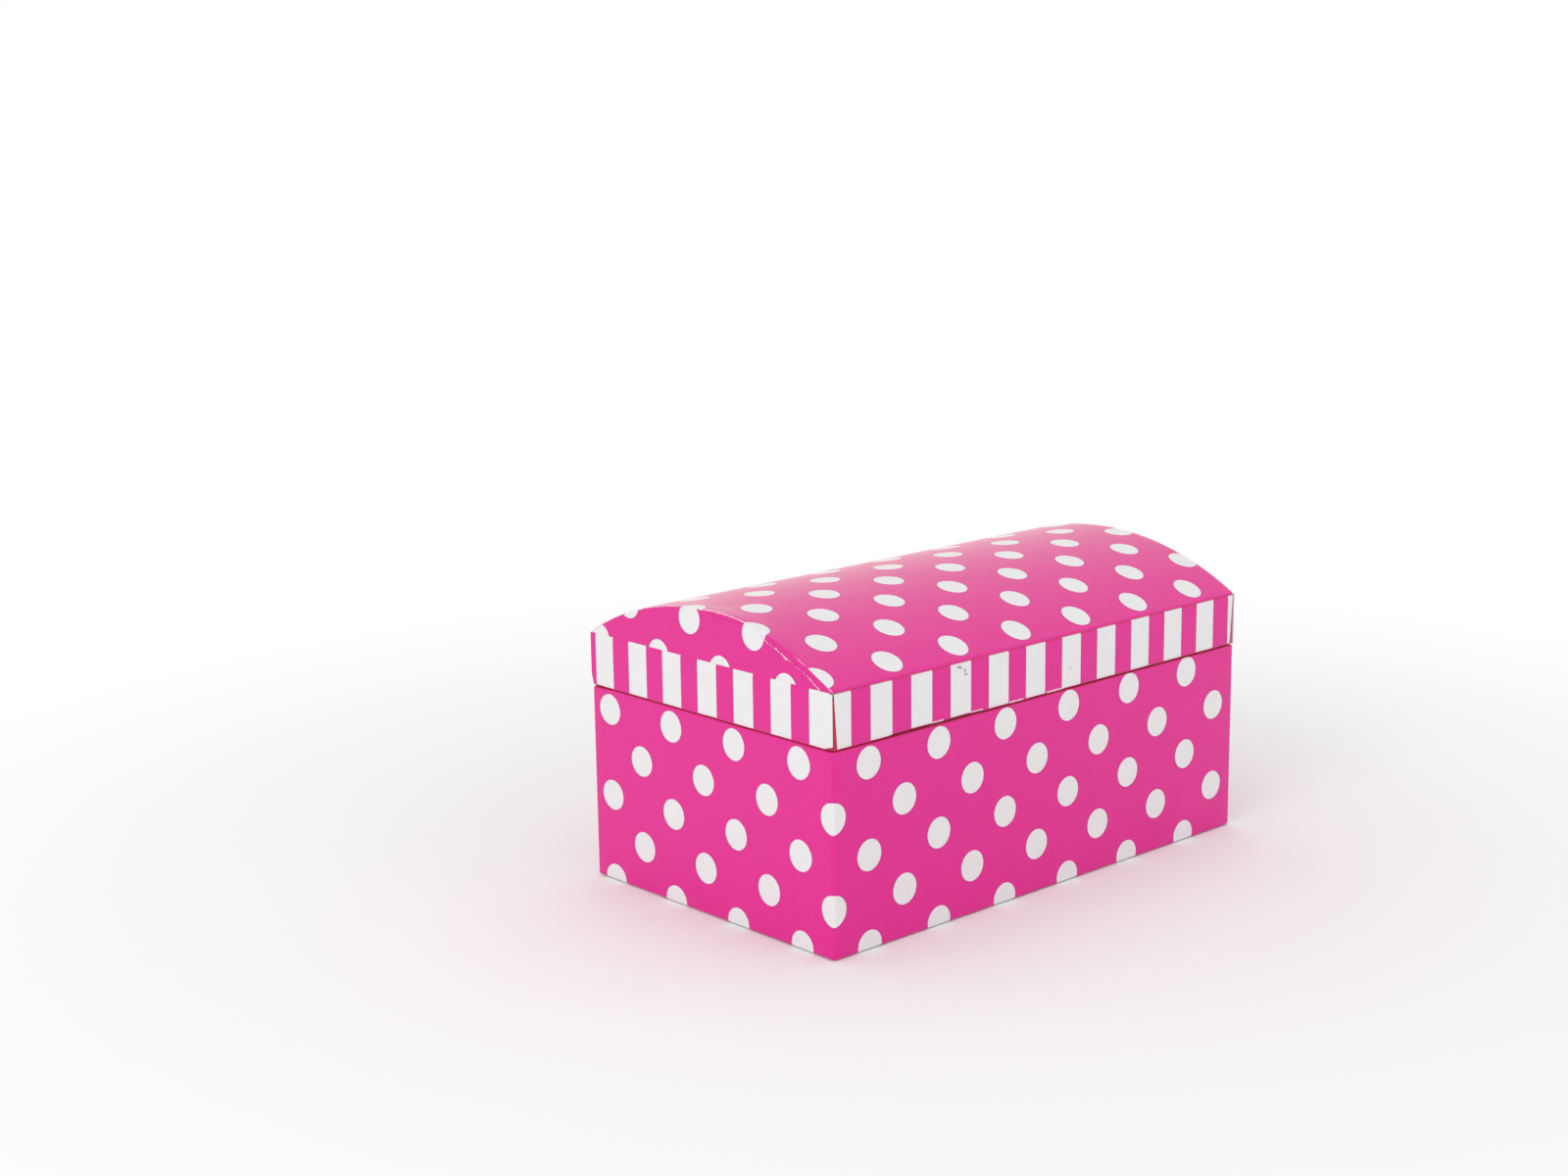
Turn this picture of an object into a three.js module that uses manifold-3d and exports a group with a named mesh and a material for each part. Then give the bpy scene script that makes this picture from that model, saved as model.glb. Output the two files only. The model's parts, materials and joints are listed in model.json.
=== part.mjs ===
// A keepsake chest: greyboard panels wrapped in dotted paper, with a domed lid on a paper hinge.
// Millimetres, +Z up. The front faces -Y, and the origin is under the middle of the chest.
import * as THREE from "three";
import { mergeVertices } from "three/addons/utils/BufferGeometryUtils.js";
import Module from "manifold-3d";

// Outside of the closed chest
const length = 160; // left to right
const depth = 96; // front to back, over the hinge strip
const seamHeight = 54.6; // table to the middle of the seam between base and lid
const seamGap = 0.4; // between the base's rim and the lid's rim
const lipHeight = 14.7; // lid's rim up to the crease where the dome starts
const domeRise = 13.7; // crease up to the top of the dome
const cornerRadius = 2; // upright corners, over the paper

// Stock
const boardThickness = 1.5; // greyboard walls, lips and ends
const domeCardThickness = 1; // thinner card that takes the bend
const padThickness = 1; // card laid on the floor inside
const paperThickness = 0.2; // wraps, strips, tapes and linings
const glueFilm = 0.05; // left between any two pasted layers

// Where the papers stop
const rimTurnIn = 12; // base wrap, down inside the rim
const floorTurnIn = 12; // base wrap, under the floor
const lipTurnIn = 12; // striped strips, up inside the lip
const domeTurnIn = 12; // dome wrap, under the dome at each end
const domeFlap = 8; // dome wrap, down the lip under the strips
const tapeLeg = 10; // each leg of a corner tape
const liningReveal = 6; // turned-in paper left showing above the lining
const liningGap = 0.3; // between the wall lining and the hinge lining
const undersideInset = 3; // underside sheet, in from the edge of the floor
const padClearance = 0.3; // round the loose floor pad
const cornerSlit = 0.5; // between the striped strips, half way round each corner
const hingeDrop = 14; // hinge strip, down the back of the base
const hingeInset = 0.5; // hinge strip on the base, in from the round of each corner
const hingeLiningInset = 4; // hinge lining, in from each end wall
const foldGap = 0.3; // between the halves of the hinge strip

// Facets of the round stretches
const cornerSteps = 3;
const domeSteps = 16;

// Colours and surfaces
const greyboard = { color: 0xa39b8f, roughness: 0.9, metalness: 0 };
const dottedPaper = { color: 0xda3e8f, roughness: 0.42, metalness: 0 };
const stripedPaper = { color: 0xe290bd, roughness: 0.45, metalness: 0 };
const plainPaper = { color: 0xf0ece6, roughness: 0.75, metalness: 0 };
const gummedTape = { color: 0xc9ac80, roughness: 0.8, metalness: 0 };

const wasm = await Module();
wasm.setup();

// Layers of the base, as insets from its outside: wrap, tape, board, turned-in wrap, lining.
const layer = paperThickness + glueFilm;
const boardOuter = 2 * layer;
const boardInner = boardOuter + boardThickness;
const turnInOuter = boardInner + glueFilm;
const turnInInner = turnInOuter + paperThickness;
const liningOuter = turnInInner + glueFilm;
const liningInner = liningOuter + paperThickness;

const endX = length / 2;
const frontY = -depth / 2;
const backY = depth / 2;
const baseBackY = backY - layer; // the hinge strip lies outside the base's back
const rim = seamHeight - seamGap / 2;
const floorBottom = 2 * layer;
const floorTop = floorBottom + boardThickness;
const wallBottom = floorTop + glueFilm;
const wallTop = rim - layer;

// The lid's ends carry one more sheet than its lips do: the dotted paper under the strip.
const endBoardOuter = 3 * layer;
const endBoardInner = endBoardOuter + boardThickness;
const endTurnInOuter = endBoardInner + glueFilm;
const endTurnInInner = endTurnInOuter + paperThickness;
const endLiningOuter = endTurnInInner + glueFilm;
const endLiningInner = endLiningOuter + paperThickness;

// The dome's arc passes through its top and through both creases.
const creaseY = backY - layer;
const domeRadius = (creaseY ** 2 + domeRise ** 2) / (2 * domeRise);
const domeCentreZ = lipHeight + domeRise - domeRadius;
const cardOuterRadius = domeRadius - layer;
const cardInnerRadius = cardOuterRadius - domeCardThickness;
const turnOuterRadius = cardInnerRadius - glueFilm;
const turnInnerRadius = turnOuterRadius - paperThickness;
const endArchRadius = turnInnerRadius - glueFilm;
const domeLiningRadius = endArchRadius - paperThickness;
const endLiningRadius = domeLiningRadius - glueFilm;
const cardEdgeY = backY - boardOuter;
const lipInnerY = backY - boardInner;
const lipPaperY = backY - turnInInner;
const insideY = lipPaperY - glueFilm;
const domeEndX = endX - layer;
const flatY = backY - cornerRadius;
const slitInset = cornerRadius * (1 - Math.SQRT1_2) + cornerSlit / 2;
const lipTop = domeCentreZ + Math.sqrt(cardInnerRadius ** 2 - cardEdgeY ** 2) - glueFilm;

const ends = { left: -1, right: 1 };
const faces = { front: -1, back: 1 };

// A stretch from near to far, measured outwards from the middle plane on one side of it.
function outwards(side, near, far) {
  return side > 0 ? [near, far] : [-far, -near];
}

function middle(halfWidth) {
  return [-halfWidth, halfWidth];
}

function block([x0, x1], [y0, y1], [z0, z1]) {
  const geometry = new THREE.BoxGeometry(x1 - x0, y1 - y0, z1 - z0);
  return geometry.translate((x0 + x1) / 2, (y0 + y1) / 2, (z0 + z1) / 2);
}

// A rectangle seen from above, with its corners rounded while there is a radius left.
function roundedPlan([x0, x1], [y0, y1], radius, Kind) {
  const plan = new Kind();
  if (radius <= glueFilm) {
    return plan.moveTo(x0, y0).lineTo(x1, y0).lineTo(x1, y1).lineTo(x0, y1).closePath();
  }
  plan.absarc(x1 - radius, y0 + radius, radius, -Math.PI / 2, 0, false);
  plan.absarc(x1 - radius, y1 - radius, radius, 0, Math.PI / 2, false);
  plan.absarc(x0 + radius, y1 - radius, radius, Math.PI / 2, Math.PI, false);
  plan.absarc(x0 + radius, y0 + radius, radius, Math.PI, 1.5 * Math.PI, false);
  plan.closePath();
  return plan;
}

function basePlan(inset, Kind = THREE.Shape) {
  const acrossY = [frontY + inset, baseBackY - inset];
  return roundedPlan(middle(endX - inset), acrossY, cornerRadius - inset, Kind);
}

function lidPlan(endInset, lipInset, Kind = THREE.Shape) {
  const radius = cornerRadius - Math.max(endInset, lipInset);
  return roundedPlan(middle(endX - endInset), middle(backY - lipInset), radius, Kind);
}

function upright(plan, [z0, z1]) {
  const options = { depth: z1 - z0, bevelEnabled: false, curveSegments: cornerSteps };
  return new THREE.ExtrudeGeometry(plan, options).translate(0, 0, z0);
}

function baseRing(outerInset, innerInset, heights) {
  const plan = basePlan(outerInset);
  plan.holes.push(basePlan(innerInset, THREE.Path));
  return upright(plan, heights);
}

function lidRing(endInset, lipInset, thickness, heights) {
  const plan = lidPlan(endInset, lipInset);
  plan.holes.push(lidPlan(endInset + thickness, lipInset + thickness, THREE.Path));
  return upright(plan, heights);
}

// A section drawn in Y and Z, run along the chest between two places on X.
function lengthways(section, [x0, x1]) {
  const options = { depth: x1 - x0, bevelEnabled: false, curveSegments: domeSteps };
  const turn = new THREE.Matrix4().makeBasis(
    new THREE.Vector3(0, 1, 0),
    new THREE.Vector3(0, 0, 1),
    new THREE.Vector3(1, 0, 0),
  );
  return new THREE.ExtrudeGeometry(section, options).applyMatrix4(turn).translate(x0, 0, 0);
}

// A bent sheet between two radii of the dome, cut upright at both of its long edges.
function archBand(outerRadius, innerRadius, halfWidth) {
  const outer = Math.asin(halfWidth / outerRadius);
  const inner = Math.asin(halfWidth / innerRadius);
  const top = Math.PI / 2;
  const section = new THREE.Shape();
  section.absarc(0, domeCentreZ, outerRadius, top - outer, top + outer, false);
  section.absarc(0, domeCentreZ, innerRadius, top + inner, top - inner, true);
  section.closePath();
  return section;
}

// An upright panel with a straight foot and an arched top.
function archPanel(radius, halfWidth, foot) {
  const reach = Math.asin(halfWidth / radius);
  const top = Math.PI / 2;
  const section = new THREE.Shape();
  section.moveTo(-halfWidth, foot);
  section.lineTo(halfWidth, foot);
  section.absarc(0, domeCentreZ, radius, top - reach, top + reach, false);
  section.closePath();
  return section;
}

function solid(geometry) {
  const bare = geometry.clone();
  bare.deleteAttribute("normal");
  bare.deleteAttribute("uv");
  const merged = mergeVertices(bare);
  const vertProperties = merged.getAttribute("position").array;
  const triVerts = new Uint32Array(merged.getIndex().array);
  return new wasm.Manifold(new wasm.Mesh({ numProp: 3, vertProperties, triVerts }));
}

function fromSolid(body) {
  const { vertProperties, triVerts } = body.getMesh();
  const geometry = new THREE.BufferGeometry();
  geometry.setAttribute("position", new THREE.BufferAttribute(vertProperties, 3));
  geometry.setIndex(new THREE.BufferAttribute(triVerts, 1));
  geometry.computeVertexNormals();
  return geometry;
}

function join(...geometries) {
  return fromSolid(geometries.map(solid).reduce((whole, next) => whole.add(next)));
}

function common(first, second) {
  return fromSolid(solid(first).intersect(solid(second)));
}

function addPiece(group, name, geometry, finish) {
  const mesh = new THREE.Mesh(geometry, new THREE.MeshStandardMaterial(finish));
  mesh.name = name;
  group.add(mesh);
}

// Base: a greyboard tray with taped corners
function addBaseBoards(base) {
  const walls = upright(basePlan(boardOuter), [wallBottom, wallTop]);
  const heights = [wallBottom, wallTop];
  const sideRun = [frontY + boardInner + glueFilm, baseBackY - boardInner - glueFilm];
  addPiece(base, "base_floor_board", upright(basePlan(boardOuter), [floorBottom, floorTop]), greyboard);
  const frontSlab = block(middle(endX), [frontY, frontY + boardInner], heights);
  addPiece(base, "base_front_board", common(walls, frontSlab), greyboard);
  const backSlab = block(middle(endX), [baseBackY - boardInner, baseBackY], heights);
  addPiece(base, "base_back_board", common(walls, backSlab), greyboard);
  for (const [end, side] of Object.entries(ends)) {
    const slab = block(outwards(side, endX - boardInner, endX), sideRun, heights);
    addPiece(base, `base_${end}_board`, common(walls, slab), greyboard);
  }
}

function addBaseTapes(base) {
  const tapeInner = layer + paperThickness;
  const sleeve = baseRing(layer, tapeInner, [wallBottom, wallTop]);
  const reach = cornerRadius + tapeLeg;
  const runs = { front: [frontY, frontY + reach], back: [baseBackY - reach, baseBackY] };
  for (const [face, run] of Object.entries(runs)) {
    for (const [end, side] of Object.entries(ends)) {
      const corner = block(outwards(side, endX - reach, endX), run, [wallBottom, wallTop]);
      addPiece(base, `base_tape_${face}_${end}`, common(sleeve, corner), gummedTape);
    }
  }
}

function addBasePapers(base) {
  const wrap = join(
    baseRing(0, paperThickness, [layer, rim]),
    baseRing(0, turnInInner, [rim - paperThickness, rim]),
    baseRing(turnInOuter, turnInInner, [rim - rimTurnIn, rim]),
    baseRing(0, floorTurnIn, [layer, layer + paperThickness]),
  );
  addPiece(base, "base_dotted_wrap", wrap, dottedPaper);
  const underside = upright(basePlan(undersideInset), [0, paperThickness]);
  addPiece(base, "base_underside_sheet", underside, plainPaper);
  const lining = baseRing(liningOuter, liningInner, [wallBottom, rim - liningReveal]);
  addPiece(base, "base_wall_lining", lining, plainPaper);
  const pad = upright(basePlan(liningInner + padClearance), [wallBottom, wallBottom + padThickness]);
  addPiece(base, "base_floor_pad", pad, plainPaper);
}

// Lid: lips and arched ends under a bent card, drawn up from the lid's own rim
function withinLid(geometry, inset) {
  return common(geometry, upright(lidPlan(inset, inset), [0, lipHeight + domeRise]));
}

function addLidBoards(lid) {
  const heights = [layer, lipTop];
  const lips = upright(lidPlan(endBoardOuter, boardOuter), heights);
  for (const [face, side] of Object.entries(faces)) {
    const slab = block(middle(endX), outwards(side, lipInnerY, backY), heights);
    addPiece(lid, `lid_${face}_lip_board`, common(lips, slab), greyboard);
  }
  const endSection = archPanel(endArchRadius, lipInnerY - glueFilm, layer);
  for (const [end, side] of Object.entries(ends)) {
    const run = outwards(side, endX - endBoardInner, endX - endBoardOuter);
    addPiece(lid, `lid_${end}_end_board`, lengthways(endSection, run), greyboard);
  }
  const card = lengthways(archBand(cardOuterRadius, cardInnerRadius, cardEdgeY), middle(endX));
  addPiece(lid, "lid_dome_card", withinLid(card, boardOuter), greyboard);
}

function addLidTapes(lid) {
  const heights = [layer, lipHeight - domeFlap - glueFilm];
  const sleeve = lidRing(2 * layer, layer, paperThickness, heights);
  const reach = cornerRadius + tapeLeg;
  for (const [face, faceSide] of Object.entries(faces)) {
    for (const [end, endSide] of Object.entries(ends)) {
      const acrossX = outwards(endSide, endX - reach, endX);
      const corner = block(acrossX, outwards(faceSide, backY - reach, backY), heights);
      addPiece(lid, `lid_tape_${face}_${end}`, common(sleeve, corner), gummedTape);
    }
  }
}

function addDomeWrap(lid) {
  const sheet = archBand(domeRadius, domeRadius - paperThickness, creaseY);
  const edge = archBand(domeRadius, turnInnerRadius, creaseY);
  const turned = archBand(turnOuterRadius, turnInnerRadius, insideY);
  const sheets = [lengthways(sheet, middle(domeEndX))];
  for (const side of Object.values(ends)) {
    sheets.push(lengthways(edge, outwards(side, domeEndX - paperThickness, domeEndX)));
    sheets.push(lengthways(turned, outwards(side, domeEndX - domeTurnIn, domeEndX)));
  }
  for (const side of Object.values(faces)) {
    const flapY = outwards(side, creaseY - paperThickness, creaseY);
    sheets.push(block(middle(endX - cornerRadius), flapY, [lipHeight - domeFlap, lipHeight]));
  }
  addPiece(lid, "lid_dotted_dome_wrap", withinLid(join(...sheets), layer), dottedPaper);
}

function addEndPapers(lid) {
  const section = archPanel(endArchRadius, flatY, layer);
  for (const [end, side] of Object.entries(ends)) {
    const run = outwards(side, domeEndX - paperThickness, domeEndX);
    addPiece(lid, `lid_${end}_dotted_paper`, lengthways(section, run), dottedPaper);
  }
}

// One face of the striped band, from the slit in one corner to the slit in the next
function lipSheet(side, heights) {
  const band = lidRing(0, 0, paperThickness, heights);
  return common(band, block(middle(endX - slitInset), outwards(side, flatY, backY), heights));
}

function endSheet(side, heights) {
  const band = lidRing(0, 0, paperThickness, heights);
  const acrossX = outwards(side, endX - cornerRadius, endX);
  return common(band, block(acrossX, middle(backY - slitInset), heights));
}

function addStripedStrips(lid) {
  const outside = [0, lipHeight];
  const turned = [0, lipTurnIn];
  const edge = [0, paperThickness];
  const front = join(
    lipSheet(faces.front, outside),
    block(middle(endX - cornerRadius), outwards(faces.front, lipPaperY, backY), edge),
    block(
      middle(endX - endTurnInInner - glueFilm),
      outwards(faces.front, lipPaperY, backY - turnInOuter),
      turned,
    ),
  );
  addPiece(lid, "lid_front_striped_strip", front, stripedPaper);
  for (const [end, side] of Object.entries(ends)) {
    const strip = join(
      endSheet(side, outside),
      block(outwards(side, endX - endTurnInInner, endX), middle(insideY), edge),
      block(outwards(side, endX - endTurnInInner, endX - endTurnInOuter), middle(insideY), turned),
    );
    addPiece(lid, `lid_${end}_striped_strip`, strip, stripedPaper);
  }
}

function addLidLinings(lid) {
  const bent = archBand(endArchRadius, domeLiningRadius, insideY);
  addPiece(lid, "lid_dome_lining", lengthways(bent, middle(endX - endBoardInner - glueFilm)), plainPaper);
  const section = archPanel(endLiningRadius, insideY, liningReveal);
  for (const [end, side] of Object.entries(ends)) {
    const run = outwards(side, endX - endLiningInner, endX - endLiningOuter);
    addPiece(lid, `lid_${end}_end_lining`, lengthways(section, run), plainPaper);
  }
}

// Hinge: a strip outside and a strip inside, each in two halves that meet at the fold
function addHingeHalves(base, lid) {
  const foldZ = -seamGap / 2; // the middle of the seam, seen from the lid's rim
  const lidHalf = lipSheet(faces.back, [foldZ + foldGap / 2, lipHeight]);
  addPiece(lid, "hinge_strip_lid_half", lidHalf, stripedPaper);
  const baseHalf = block(
    middle(endX - cornerRadius - hingeInset),
    [backY - paperThickness, backY],
    [seamHeight - hingeDrop, seamHeight - foldGap / 2],
  );
  addPiece(base, "hinge_strip_base_half", baseHalf, stripedPaper);

  const liningX = middle(endX - endTurnInInner - hingeLiningInset);
  const lidLining = join(
    block(liningX, [lipPaperY, creaseY], [0, paperThickness]),
    block(liningX, [lipPaperY, backY - turnInOuter], [0, lipTurnIn]),
  );
  addPiece(lid, "hinge_lining_lid_half", lidLining, plainPaper);
  const baseLining = block(
    liningX,
    [baseBackY - liningInner, baseBackY - liningOuter],
    [rim - liningReveal + liningGap, rim],
  );
  addPiece(base, "hinge_lining_base_half", baseLining, plainPaper);
}

const base = new THREE.Group();
addBaseBoards(base);
addBaseTapes(base);
addBasePapers(base);

const lid = new THREE.Group();
lid.position.z = seamHeight + seamGap / 2;
addLidBoards(lid);
addLidTapes(lid);
addDomeWrap(lid);
addEndPapers(lid);
addStripedStrips(lid);
addLidLinings(lid);
addHingeHalves(base, lid);

const chest = new THREE.Group();
chest.add(base, lid);

export default chest;
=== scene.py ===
import json
import math

import bpy
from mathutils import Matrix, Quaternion, Vector, noise


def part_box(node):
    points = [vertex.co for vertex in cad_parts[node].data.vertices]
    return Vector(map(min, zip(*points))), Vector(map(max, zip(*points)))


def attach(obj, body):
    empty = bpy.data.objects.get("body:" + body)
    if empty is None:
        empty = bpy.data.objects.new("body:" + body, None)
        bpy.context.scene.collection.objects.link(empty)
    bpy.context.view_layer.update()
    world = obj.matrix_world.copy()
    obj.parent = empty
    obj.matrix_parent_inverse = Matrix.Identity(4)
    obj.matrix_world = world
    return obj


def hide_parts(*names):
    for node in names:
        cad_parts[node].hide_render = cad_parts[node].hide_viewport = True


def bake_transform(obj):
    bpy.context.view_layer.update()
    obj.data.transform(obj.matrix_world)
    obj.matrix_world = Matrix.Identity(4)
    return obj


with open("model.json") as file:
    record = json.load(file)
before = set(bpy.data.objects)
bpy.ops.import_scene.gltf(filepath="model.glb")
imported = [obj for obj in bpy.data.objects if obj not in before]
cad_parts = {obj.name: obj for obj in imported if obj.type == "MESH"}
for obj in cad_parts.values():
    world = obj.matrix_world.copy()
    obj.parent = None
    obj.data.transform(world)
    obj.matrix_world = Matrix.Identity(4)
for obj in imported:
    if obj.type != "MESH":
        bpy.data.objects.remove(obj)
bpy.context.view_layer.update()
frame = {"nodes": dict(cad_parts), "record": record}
mm = 0.001  # pieces are drawn in millimetres and kept in metres
tiny = 1e-6  # shorter than this, in millimetres, is no length
sharpFrom = math.radians(50)  # edges that turn more than this stay crisp
plainWhite = (1.0, 1.0, 1.0, 1.0)


# Node trees: sums on a wire add Math nodes, and every other node comes from Bench.add
class Wire:
    def __init__(self, bench, socket):
        self.bench = bench
        self.socket = socket

    def maths(self, operation, *values):
        return self.bench.add("ShaderNodeMath", {"operation": operation}, dict(enumerate(values)))

    def __add__(self, other):
        return self.maths("ADD", self, other)

    def __radd__(self, other):
        return self.maths("ADD", other, self)

    def __sub__(self, other):
        return self.maths("SUBTRACT", self, other)

    def __rsub__(self, other):
        return self.maths("SUBTRACT", other, self)

    def __mul__(self, other):
        return self.maths("MULTIPLY", self, other)

    def __rmul__(self, other):
        return self.maths("MULTIPLY", other, self)

    def __truediv__(self, other):
        return self.maths("DIVIDE", self, other)

    def __rtruediv__(self, other):
        return self.maths("DIVIDE", other, self)

    def __mod__(self, other):
        return self.maths("FLOORED_MODULO", self, other)

    def __abs__(self):
        return self.maths("ABSOLUTE", self)

    def __gt__(self, other):
        return self.maths("GREATER_THAN", self, other)

    def least(self, other):
        return self.maths("MINIMUM", self, other)

    def most(self, other):
        return self.maths("MAXIMUM", self, other)

    def root(self):
        return self.maths("SQRT", self)

    def sign(self):
        return self.maths("SIGN", self)

    def fade(self, fullAt, goneAt):  # 1 at fullAt, easing to 0 at goneAt
        reach = {"Value": self, "From Min": fullAt, "From Max": goneAt, "To Min": 1.0, "To Max": 0.0}
        return self.bench.add("ShaderNodeMapRange", {"interpolation_type": "SMOOTHSTEP"}, reach)

    def sibling(self, name):  # another output of the same node
        return Wire(self.bench, self.socket.node.outputs[name])


class Bench:
    def __init__(self, tree):
        self.tree = tree

    def add(self, kind, settings=None, sockets=None, output=0):
        node = self.tree.nodes.new(kind)
        for name, value in (settings or {}).items():
            setattr(node, name, value)
        for name, value in (sockets or {}).items():
            for part in value if isinstance(value, list) else [value]:
                if isinstance(part, Wire):
                    self.tree.links.new(part.socket, node.inputs[name])
                else:
                    node.inputs[name].default_value = part
        return Wire(self, node.outputs[output]) if len(node.outputs) else None

    def split(self, vector):
        first = self.add("ShaderNodeSeparateXYZ", None, {0: vector})
        return first, first.sibling("Y"), first.sibling("Z")

    def vector(self, x, y, z):
        return self.add("ShaderNodeCombineXYZ", None, {0: x, 1: y, 2: z})

    def noise(self, place, scale, detail=2.0, roughness=0.5):
        sockets = {"Vector": place, "Scale": scale, "Detail": detail, "Roughness": roughness}
        return self.add("ShaderNodeTexNoise", None, sockets)

    def blend(self, share, first, second, way="MIX"):
        settings = {"data_type": "RGBA", "blend_type": way, "clamp_factor": True}
        return self.add("ShaderNodeMix", settings, {0: share, 6: first, 7: second}, 2)


def tint(code):  # a colour as the eye sees it, to the linear one that a shader takes
    parts = [int(code[i:i + 2], 16) / 255 for i in (0, 2, 4)]
    return (*(c / 12.92 if c <= 0.04045 else ((c + 0.055) / 1.055) ** 2.4 for c in parts), 1.0)


# Finishes
def startFinish(name):
    finish = bpy.data.materials.new(name)
    finish.use_nodes = True
    finish.node_tree.nodes.clear()
    bench = Bench(finish.node_tree)
    return finish, bench, bench.add("ShaderNodeTexCoord", None, None, "Object")


def endFinish(bench, colour, roughness, height, coat=None):  # height in metres
    bump = bench.add("ShaderNodeBump", None, {"Height": height, "Distance": 1.0, "Strength": 1.0})
    skin = {"Base Color": colour, "Roughness": roughness, "Normal": bump, **(coat or {})}
    shader = bench.add("ShaderNodeBsdfPrincipled", None, skin)
    bench.add("ShaderNodeOutputMaterial", None, {"Surface": shader})


printedLook = {
    "pink": "dd048c",
    "white": "e5e5e6",
    "core": "ecd3de",  # bare paper where the print has rubbed off; along the dome's ends it is also a painted highlight
    "overprint": "8f1259",  # where the pink runs under the edge of a white shape
    "paintedShade": "b4003c",  # painted shade: the dark crimson of the seam's shut folds, of the crease under the dome and of the hollows behind the slits
    "dull": "e8ddc8",  # painted sheen: a pale veil where the dome's coating has been scratched, standing in for the sheen there as well
    "mottle": "b48ca0",
    "soil": "736c70",
    "roughness": 0.4,
    "gloss": 1.49,  # index of refraction
    "sheen": (0.45, 0.3, "fff2e0"),  # haze seen at a low angle: strength, spread and colour
    "grain": 0.003,  # height of the fibres, mm
    "swell": 0.035,  # slow unevenness of pasted paper, mm
}

dotLook = {
    "radius": 4.2,
    "pitch": (25.2, 24.14),  # a second set of dots lies half way between
    "softness": 0.12,
    "scratchRun": (0.33, -0.94),  # which way the scratches beside the dome's left edge run, across and back
    "scratches": (10.0, 0.8),  # their length and spacing, mm
    "sheenAndScratchStrength": (0.05, 0.3),  # how strongly the patch is paled with painted sheen, all over and along the scratches
}

stripeLook = {
    "pitch": 14.378,
    "white": 7.6,
    "softness": 0.12,
    "margin": 0.25,  # plain pink left along the lower edge
    "crease": 14.7,  # height of the top edge; painted shade darkens it towards the dome
    "creaseReach": 0.45,
    "frontFrom": 47.0,  # only what lies this far forward gets the painted crease shade and the scuffs
    "scuffs": [  # grey rubs on the front: across, up, reach
        (-35.1, 68.35, 0.75), (-34.3, 68.1, 0.7), (-32.7, 67.1, 0.7), (-32.6, 66.0, 0.6), (-32.1, 66.0, 0.6),
        (8.6, 60.3, 0.5),
    ],
}


def printedFinish(bench, where, white, outline, paintedShadeShare=0.0, soiled=0.0, sheenAndScratchShare=0.0):
    mottle = bench.noise(where, 140.0, 5.0, 0.6)
    fibres = bench.noise(where, 3800.0, 3.0)
    swell = bench.noise(where, 60.0, 1.0)
    wear = bench.add("ShaderNodeAttribute", {"attribute_name": "wear"}, None, "Fac")  # above 0 worn paper, with a painted highlight along the dome's ends; below 0 painted shade in the seam's folds and behind the slits
    rubbedAndHighlit = (wear * 0.75 + bench.noise(where, 900.0, 5.0, 0.65) * 0.8).fade(1.0, 0.78)
    face = bench.blend(white, tint(printedLook["pink"]), tint(printedLook["white"]))
    face = bench.blend(outline * 0.3, face, tint(printedLook["overprint"]))
    # painted shade: dark crimson in the seam's folds, along the crease and behind the slits
    face = bench.blend((0 - wear).most(paintedShadeShare) * 0.9, face, tint(printedLook["paintedShade"]))
    face = bench.blend(mottle * 0.1, face, tint(printedLook["mottle"]), "MULTIPLY")
    face = bench.blend(rubbedAndHighlit * (0.75 - white * 0.6), face, tint(printedLook["core"]))
    # painted sheen on the dome's scratched patch
    face = bench.blend(sheenAndScratchShare, face, tint(printedLook["dull"]))
    face = bench.blend(soiled, face, tint(printedLook["soil"]))
    roughness = mottle * 0.1 + (printedLook["roughness"] - 0.05) + rubbedAndHighlit * 0.2
    height = fibres * (printedLook["grain"] * mm) + swell * (printedLook["swell"] * mm)
    weight, spread, haze = printedLook["sheen"]
    coat = {"Sheen Weight": weight, "Sheen Roughness": spread, "Sheen Tint": tint(haze)}
    endFinish(bench, face, roughness, height, {"IOR": printedLook["gloss"], **coat})


def makeDottedPaper():
    finish, bench, where = startFinish("dotted paper")
    u, v, _ = bench.split(bench.add("ShaderNodeUVMap", {"uv_map": "sheet"}))
    pitchU, pitchV = dotLook["pitch"]
    nearest = None
    for shift in (0.5, 1.0):
        across = ((u / pitchU + shift) % 1.0 - 0.5) * pitchU
        along = ((v / pitchV + shift) % 1.0 - 0.5) * pitchV
        away = (across * across + along * along).root()
        nearest = away if nearest is None else nearest.least(away)
    ragged = nearest + bench.noise(where, 1600.0, 3.0) * 0.16 - 0.08
    radius, softness = dotLook["radius"], dotLook["softness"]
    white = ragged.fade(radius - softness, radius + softness)
    outline = abs(ragged - radius - softness).fade(0.0, 2 * softness)
    x, y, _ = bench.split(where)
    runX, runY = dotLook["scratchRun"]
    length, spacing = dotLook["scratches"]
    run = (x * runX + y * runY) / (length * mm)
    off = (x * runY - y * runX) / (spacing * mm)
    scratches = bench.noise(bench.vector(run, off, 0.0), 1.0, 3.0).fade(0.62, 0.45)
    # where the dome is paled by painted sheen, with scratches
    dull = bench.add("ShaderNodeAttribute", {"attribute_name": "dull"}, None, "Fac")
    allOverSheen, scratched = dotLook["sheenAndScratchStrength"]
    printedFinish(bench, where, white, outline, sheenAndScratchShare=dull * (scratches * scratched + allOverSheen))
    return finish


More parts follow.
